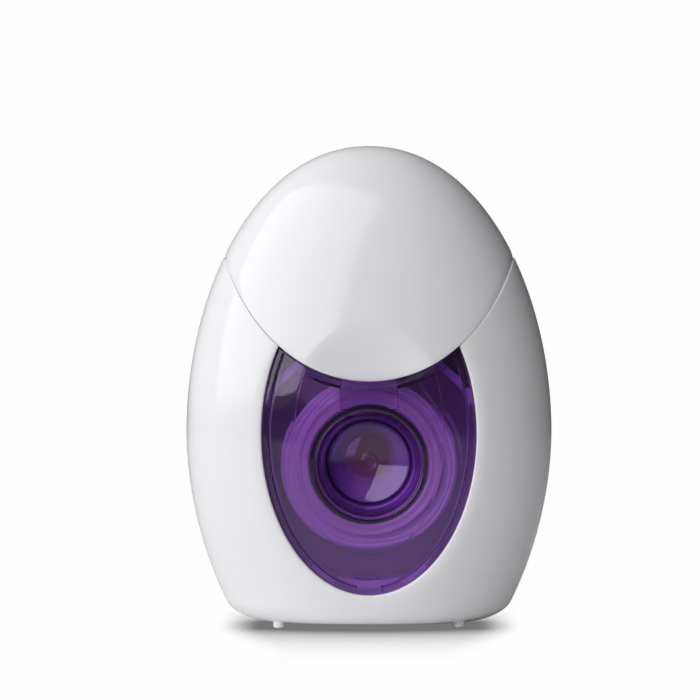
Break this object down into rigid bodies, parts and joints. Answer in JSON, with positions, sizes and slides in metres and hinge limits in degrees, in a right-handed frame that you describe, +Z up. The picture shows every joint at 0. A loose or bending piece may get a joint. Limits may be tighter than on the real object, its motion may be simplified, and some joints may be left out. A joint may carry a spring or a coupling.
{
  "type": "dental floss dispenser",
  "caption": "Egg-shaped dental floss dispenser with a flip-up lid over a steel cutter, a clear purple oval window and a bobbin turning on its hollow hub.",
  "frame": {"origin": "on the plane that the four foot pegs stand on, under the middle of the casing", "axes": "+Z up, the window and the lid's tongue face -Y, +X to the right seen from the front"},
  "size_m": [0.046, 0.0233, 0.0604],
  "materials": {
    "casing": "polished white polypropylene",
    "window": "clear purple polystyrene",
    "deck": "satin white plastic",
    "cutter_steel": "stamped stainless",
    "pin_steel": "drawn wire",
    "core": "natural plastic",
    "floss": "waxed white floss"
  },
  "bodies": {
    "case": {"front_shell": "casing", "rear_shell": "casing", "lid_hinge_pin": "pin_steel", "window_cover": "window", "inner_housing": "window", "top_deck": "deck", "floss_cutter": "cutter_steel", "floss_lead": "floss"},
    "lid": {"flip_lid": "casing"},
    "bobbin": {"bobbin_core": "core", "floss_winding": "floss"}
  },
  "joints": [
    {"name": "lid_hinge", "type": "hinge", "parent": "case", "child": "lid", "pos_m": [0, 0.0099, 0.0465], "axis": [-1, 0, 0], "range_deg": [0, 120]},
    {"name": "bobbin_spin", "type": "hinge", "parent": "case", "child": "bobbin", "pos_m": [0, -0.0005, 0.0208], "axis": [0, 1, 0], "continuous": true}
  ]
}
